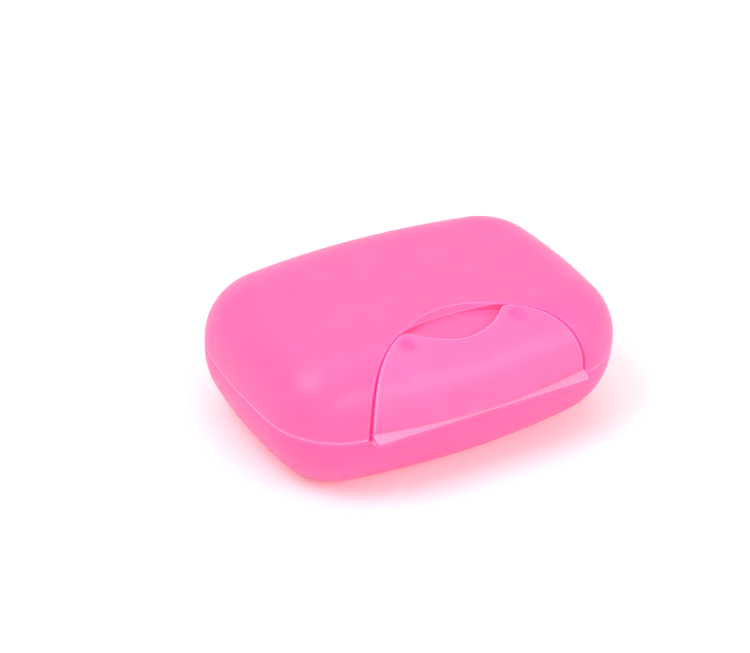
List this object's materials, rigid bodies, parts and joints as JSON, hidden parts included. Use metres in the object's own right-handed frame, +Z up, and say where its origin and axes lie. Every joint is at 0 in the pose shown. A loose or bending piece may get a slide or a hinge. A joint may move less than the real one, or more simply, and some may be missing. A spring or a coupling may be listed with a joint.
{
  "type": "travel soap box",
  "caption": "Rounded hinged soap case with a deep base, a domed lid, a curved front latch flap that wraps over the lid's shoulder, and a slotted drain tray inside.",
  "frame": {"origin": "middle of the flat bottom face, on the table", "axes": "+X along the box, -Y to the latch side, +Z up"},
  "size_m": [0.115, 0.0861, 0.0425],
  "materials": {
    "shell_plastic": "satin moulded polypropylene, bright pink",
    "flap_plastic": "satin moulded polypropylene, bright pink",
    "strip_plastic": "thin polypropylene, paler where it is drawn thin",
    "tray_plastic": "satin moulded polypropylene, pink",
    "pin_steel": "drawn stainless wire"
  },
  "bodies": {
    "base": {"base_shell": "shell_plastic", "lid_hinge_pin": "pin_steel", "latch_hinge_film": "strip_plastic"},
    "lid": {"lid_shell": "shell_plastic"},
    "latch": {"latch_flap": "flap_plastic", "latch_hinge_strip": "strip_plastic"},
    "tray": {"drain_tray": "tray_plastic"}
  },
  "joints": [
    {"name": "lid_hinge", "type": "hinge", "parent": "base", "child": "lid", "pos_m": [0, 0.04295, 0.0224], "axis": [-1, 0, 0], "range_deg": [0, 180]},
    {"name": "latch_hinge", "type": "hinge", "parent": "base", "child": "latch", "pos_m": [0, -0.0407, 0.0231], "axis": [1, 0, 0], "range_deg": [0, 120], "deforming": ["latch_hinge_film"]},
    {"name": "tray_lift", "type": "slide", "parent": "base", "child": "tray", "axis": [0, 0, 1], "range_m": [0, 0.012]}
  ]
}
